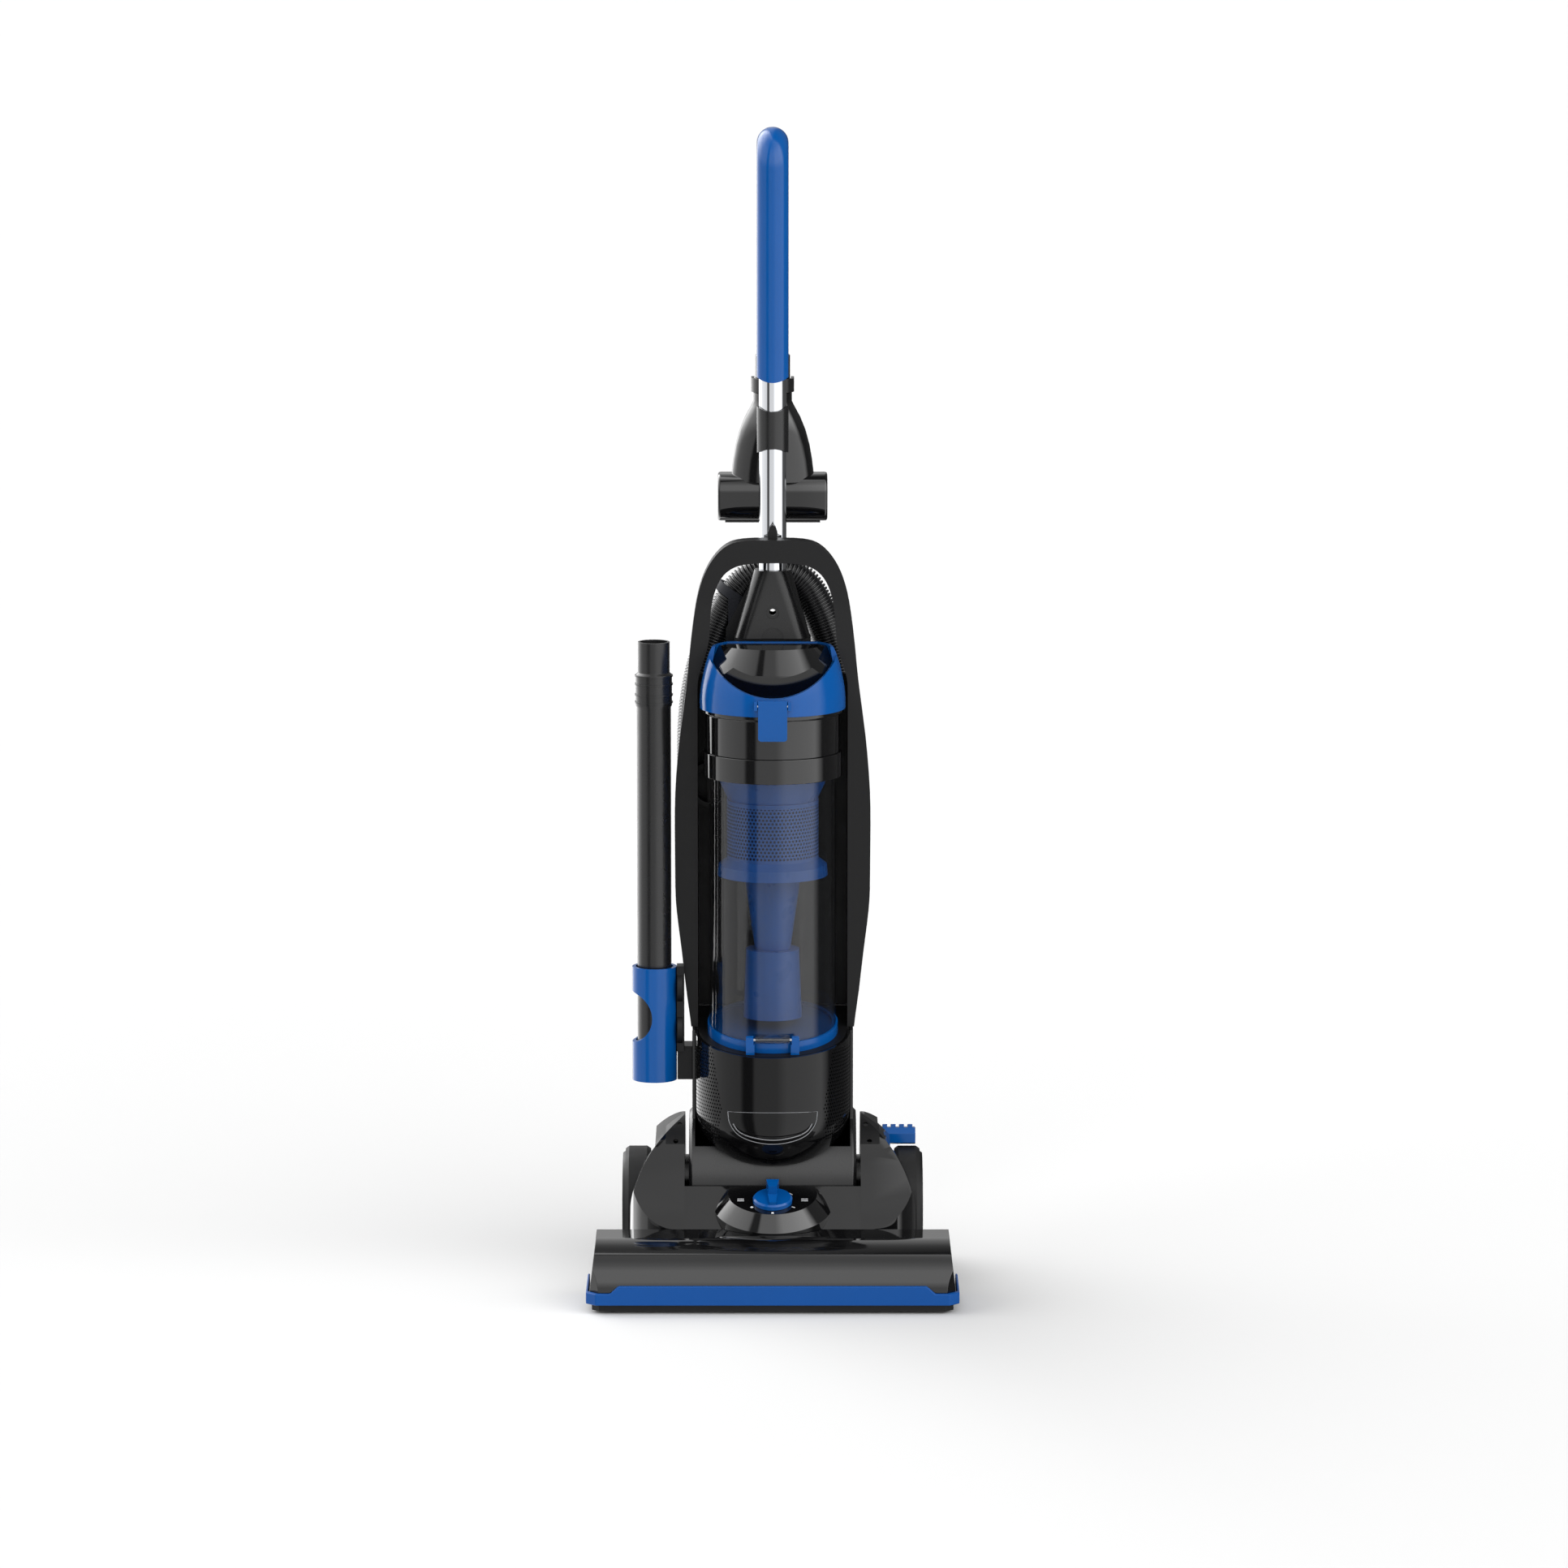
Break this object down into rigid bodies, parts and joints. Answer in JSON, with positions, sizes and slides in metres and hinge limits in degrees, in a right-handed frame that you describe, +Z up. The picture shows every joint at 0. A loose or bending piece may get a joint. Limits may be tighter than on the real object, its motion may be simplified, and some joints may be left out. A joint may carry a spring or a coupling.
{
  "type": "upright vacuum cleaner",
  "caption": "Upright bagless vacuum cleaner: tilting body with clear dust bin, loop handle on a tube, stretch hose, clipped wand and turbine brush tool.",
  "frame": {"origin": "on the floor, at the middle of the bounding box seen from above", "axes": "+Z up, front of the cleaning head towards -Y, +X to the right as seen from the front"},
  "size_m": [0.347, 0.299, 1.0837],
  "materials": {
    "gloss_black": "gloss",
    "matte_black": "satin",
    "blue": "gloss",
    "soft_blue": "satin",
    "soft_black": "matte",
    "hose_plastic": "satin",
    "steel": "satin",
    "chrome": "polished",
    "aluminium": "satin",
    "roll_plastic": "satin",
    "bristle": "matte",
    "filter_foam": "matte",
    "clear_smoke": "clear"
  },
  "bodies": {
    "head": {"nozzle_cover": "gloss_black", "bumper": "soft_blue", "soleplate": "matte_black", "roller_pins": "matte_black", "head_shell": "gloss_black", "trunnion_cap_left": "matte_black", "trunnion_cap_right": "matte_black", "dial_pod": "gloss_black", "brush_bearings": "matte_black", "wheel_axles": "steel", "pedal_pin": "steel", "drive_belt": "soft_black"},
    "roller_left": {"front_roller_left": "matte_black"},
    "roller_right": {"front_roller_right": "matte_black"},
    "knob": {"height_knob": "blue"},
    "brush": {"brush_roll": "roll_plastic", "bristle_rows": "bristle"},
    "wheel_left": {"wheel_rim_left": "matte_black", "wheel_tread_left": "soft_black"},
    "wheel_right": {"wheel_rim_right": "matte_black", "wheel_tread_right": "soft_black"},
    "pedal": {"release_pedal": "blue"},
    "body": {"barrel_column": "matte_black", "front_cover": "gloss_black", "bin_seat": "matte_black", "spine_frame": "matte_black", "tube_socket": "matte_black", "handle_tube": "chrome", "loop_handle": "blue", "tool_clip": "matte_black", "wand_holder": "blue", "holder_bracket": "matte_black", "motor_case": "matte_black", "exhaust_filter": "filter_foam", "hose": "hose_plastic", "hose_cuff_left": "matte_black", "hose_cuff_right": "matte_black", "inlet_ring": "matte_black", "hose_strap": "blue", "cord_gland": "matte_black"},
    "rotor": {"motor_rotor": "steel", "motor_fan": "aluminium"},
    "bin": {"bin_cup": "clear_smoke", "bin_ring": "gloss_black", "filter_housing": "gloss_black", "foam_filter": "filter_foam", "outlet_funnel": "blue", "shroud": "blue", "cyclone_cone": "blue", "fines_cup": "blue", "bin_lid": "blue", "lid_insert": "gloss_black", "latch_pin": "steel", "door_pin": "steel"},
    "door": {"bin_door": "blue"},
    "latch": {"lid_latch": "blue"},
    "wand": {"wand_tube": "matte_black"},
    "tool": {"brush_tool": "matte_black"},
    "tool_brush": {"tool_roller": "roll_plastic"},
    "cord_hook": {"cord_hook_upper": "matte_black"}
  },
  "joints": [
    {"name": "recline", "type": "hinge", "parent": "head", "child": "body", "pos_m": [0, 0.045, 0.089], "axis": [-1, 0, 0], "range_deg": [0, 75]},
    {"name": "wheel_left_spin", "type": "hinge", "parent": "head", "child": "wheel_left", "pos_m": [-0.128, 0.062, 0.0575], "axis": [1, 0, 0], "continuous": true},
    {"name": "wheel_right_spin", "type": "hinge", "parent": "head", "child": "wheel_right", "pos_m": [0.128, 0.062, 0.0575], "axis": [1, 0, 0], "continuous": true},
    {"name": "roller_left_spin", "type": "hinge", "parent": "head", "child": "roller_left", "pos_m": [-0.07, -0.045, 0.009], "axis": [1, 0, 0], "continuous": true},
    {"name": "roller_right_spin", "type": "hinge", "parent": "head", "child": "roller_right", "pos_m": [0.07, -0.045, 0.009], "axis": [1, 0, 0], "continuous": true},
    {"name": "brush_spin", "type": "hinge", "parent": "head", "child": "brush", "pos_m": [0, -0.104, 0.03], "axis": [1, 0, 0], "continuous": true},
    {"name": "motor_spin", "type": "hinge", "parent": "body", "child": "rotor", "pos_m": [0, 0.045, 0.089], "axis": [1, 0, 0], "continuous": true},
    {"name": "height_turn", "type": "hinge", "parent": "head", "child": "knob", "pos_m": [0, -0.055, 0.087], "axis": [0, -0.2756, 0.9613], "range_deg": [-60, 60]},
    {"name": "pedal_press", "type": "hinge", "parent": "head", "child": "pedal", "pos_m": [0.119, 0.066, 0.123], "axis": [-1, 0, 0], "range_deg": [0, 10], "stiffness_Nm_per_rad": 0.8, "springref_deg": -11.46},
    {"name": "bin_lift", "type": "slide", "parent": "body", "child": "bin", "axis": [0, -0.866, 0.5], "range_m": [0, 0.3]},
    {"name": "door_open", "type": "hinge", "parent": "bin", "child": "door", "pos_m": [0, -0.04349, 0.23902], "axis": [-1, 0, 0], "range_deg": [0, 62]},
    {"name": "latch_pull", "type": "hinge", "parent": "bin", "child": "latch", "pos_m": [0, -0.051, 0.556], "axis": [-1, 0, 0], "range_deg": [0, 12], "stiffness_Nm_per_rad": 0.1, "springref_deg": -5.73},
    {"name": "wand_lift", "type": "slide", "parent": "body", "child": "wand", "axis": [0, 0, 1], "range_m": [0, 0.12]},
    {"name": "tool_pull", "type": "slide", "parent": "body", "child": "tool", "axis": [0, 1, 0], "range_m": [0, 0.06]},
    {"name": "tool_brush_spin", "type": "hinge", "parent": "tool", "child": "tool_brush", "pos_m": [0, 0.12, 0.724], "axis": [1, 0, 0], "continuous": true},
    {"name": "cord_hook_turn", "type": "hinge", "parent": "body", "child": "cord_hook", "pos_m": [0, 0.125, 0.52], "axis": [0, 1, 0], "range_deg": [0, 180]}
  ],
  "couplings": [
    {"joint": "motor_spin", "follows": "brush_spin", "ratio": 1.6154},
    {"joint": "door_open", "follows": "bin_lift", "rad_per_m": 3.5}
  ]
}
